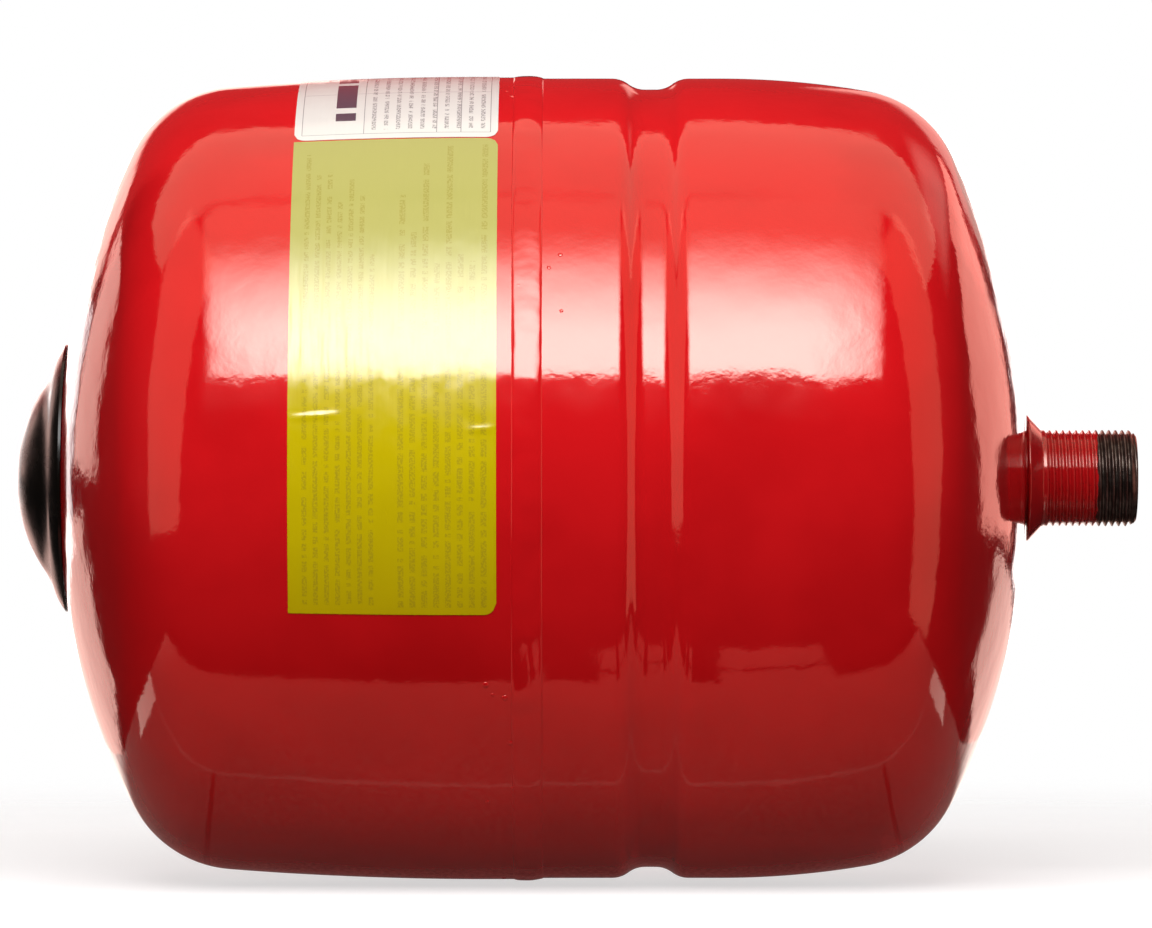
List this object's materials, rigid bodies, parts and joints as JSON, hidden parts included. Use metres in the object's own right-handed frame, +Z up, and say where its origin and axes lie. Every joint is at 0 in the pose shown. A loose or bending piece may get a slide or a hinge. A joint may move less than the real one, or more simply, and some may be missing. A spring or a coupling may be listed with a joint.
{
  "type": "expansion vessel",
  "caption": "Closed red steel expansion vessel with a rubber diaphragm inside, a threaded pipe connection at one end and a capped air valve at the other.",
  "frame": {"origin": "on the vessel's axis, in the plane where the nipple's collar meets its thread", "axes": "+X along the axis, out of the water connection; +Z up; -Y is the side that shows the labels"},
  "size_m": [0.3076, 0.2211, 0.221],
  "materials": {
    "red_enamel": "gloss enamel with orange peel",
    "nipple_steel": "red enamel, bare dark steel over the last 11 mm",
    "yellow_film": "printed film",
    "white_film": "printed film",
    "ring_steel": "zinc plated",
    "diaphragm_rubber": "matt moulded rubber",
    "valve_brass": "turned brass",
    "seal_rubber": "matt rubber",
    "seal_red": "red seal",
    "pin_steel": "bright wire",
    "dust_cap_black": "moulded",
    "cap_black": "glossy moulding"
  },
  "bodies": {
    "vessel": {"air_shell": "red_enamel", "water_shell": "red_enamel", "seam_weld": "red_enamel", "water_nipple": "nipple_steel", "nipple_weld": "red_enamel", "instruction_label": "yellow_film", "rating_label": "white_film", "clamp_ring": "ring_steel", "diaphragm_rim": "diaphragm_rubber", "diaphragm_wall": "diaphragm_rubber", "valve_stem": "valve_brass", "valve_gasket": "seal_rubber", "valve_washer": "ring_steel", "valve_nut": "valve_brass", "core_plug": "valve_brass", "core_collar_seal": "seal_red", "core_barrel": "valve_brass", "core_spring": "pin_steel"},
    "diaphragm_middle": {"diaphragm_crown": "diaphragm_rubber"},
    "valve_cover": {"protective_cap": "cap_black"},
    "dust_cap_liner": {"dust_cap_gasket": "seal_rubber"},
    "dust_cap_shell": {"dust_cap": "dust_cap_black"},
    "core_plunger": {"core_pin": "pin_steel", "core_seal": "seal_rubber", "core_cup": "valve_brass"}
  },
  "joints": [
    {"name": "diaphragm_stroke", "type": "slide", "parent": "vessel", "child": "diaphragm_middle", "axis": [-1, 0, 0], "range_m": [0, 0.15], "deforming": ["diaphragm_wall"]},
    {"name": "cover_pull", "type": "slide", "parent": "vessel", "child": "valve_cover", "axis": [-1, 0, 0], "range_m": [0, 0.06]},
    {"name": "dust_cap_lift", "type": "slide", "parent": "vessel", "child": "dust_cap_liner", "axis": [-1, 0, 0], "range_m": [0, 0.00397]},
    {"name": "dust_cap_turn", "type": "hinge", "parent": "dust_cap_liner", "child": "dust_cap_shell", "pos_m": [-0.268, 0, 0], "axis": [-1, 0, 0], "range_deg": [0, 1800]},
    {"name": "core_press", "type": "slide", "parent": "vessel", "child": "core_plunger", "axis": [1, 0, 0], "range_m": [0, 0.0018], "stiffness_N_per_m": 900, "springref_m": -0.003, "deforming": ["core_spring"]}
  ],
  "couplings": [
    {"joint": "dust_cap_turn", "follows": "dust_cap_lift", "rad_per_m": 7913.3}
  ]
}
